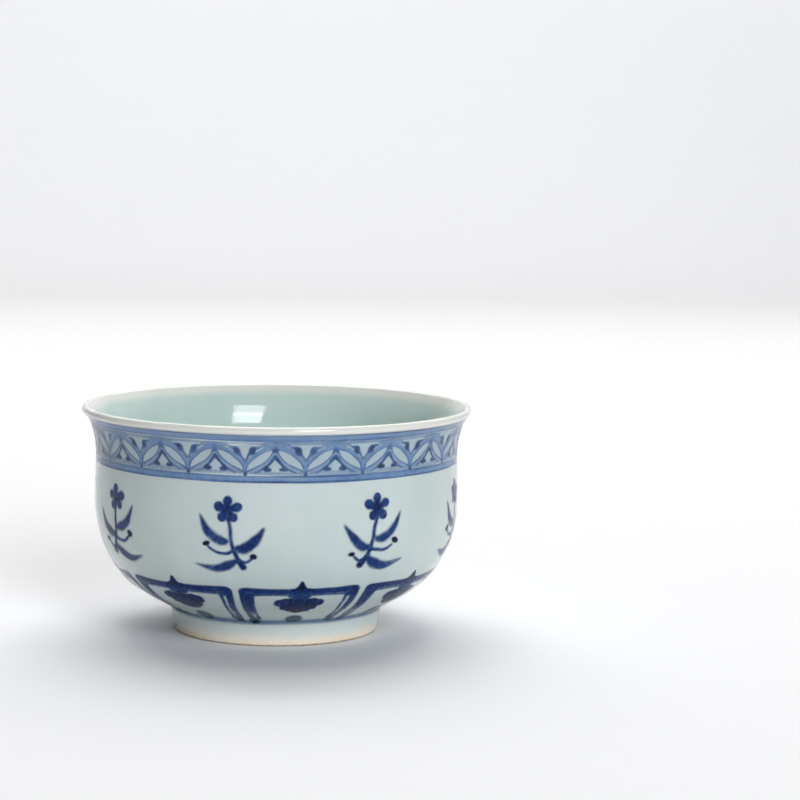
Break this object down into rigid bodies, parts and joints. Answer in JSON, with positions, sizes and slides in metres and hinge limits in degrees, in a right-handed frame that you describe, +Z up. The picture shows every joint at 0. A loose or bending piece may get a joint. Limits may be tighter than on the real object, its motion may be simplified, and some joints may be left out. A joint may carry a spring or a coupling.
{
  "type": "teacup",
  "caption": "Small round handleless porcelain tea cup with a flared lip, a turned foot ring and blue painted bands, sprigs and petal panels under a pale celadon glaze.",
  "frame": {"origin": "centre of the foot ring's contact edge, on the surface the cup stands on", "axes": "+Z up along the cup's axis through the mouth, -Y towards the front of the painting, +X to the right of it"},
  "size_m": [0.081, 0.081, 0.047],
  "materials": {
    "porcelain": "fired white porcelain clay, bare and slightly tan on the foot's wiped edge",
    "outer_glaze": "smooth glossy transparent glaze with a pale celadon tint",
    "inner_glaze": "smooth glossy pale celadon glaze",
    "base_glaze": "smooth glossy pale celadon glaze",
    "cobalt_border": "mid-blue cobalt wash and lines under the glaze",
    "cobalt_brushwork": "dark blue cobalt brushwork under the glaze, nearly black where it pools"
  },
  "bodies": {
    "root": {"porcelain_body": "porcelain", "outer_glaze": "outer_glaze", "inner_glaze": "inner_glaze", "base_glaze": "base_glaze", "rim_lines": "cobalt_border", "frieze_leaves": "cobalt_border", "frieze_lines": "cobalt_border", "sprig_1": "cobalt_brushwork", "sprig_2": "cobalt_brushwork", "sprig_3": "cobalt_brushwork", "sprig_4": "cobalt_brushwork", "sprig_5": "cobalt_brushwork", "sprig_6": "cobalt_brushwork", "sprig_7": "cobalt_brushwork", "sprig_8": "cobalt_brushwork", "petal_1": "cobalt_brushwork", "petal_2": "cobalt_brushwork", "petal_3": "cobalt_brushwork", "petal_4": "cobalt_brushwork", "petal_5": "cobalt_brushwork", "petal_6": "cobalt_brushwork", "petal_7": "cobalt_brushwork", "petal_8": "cobalt_brushwork", "foot_line": "cobalt_border"}
  },
  "joints": []
}
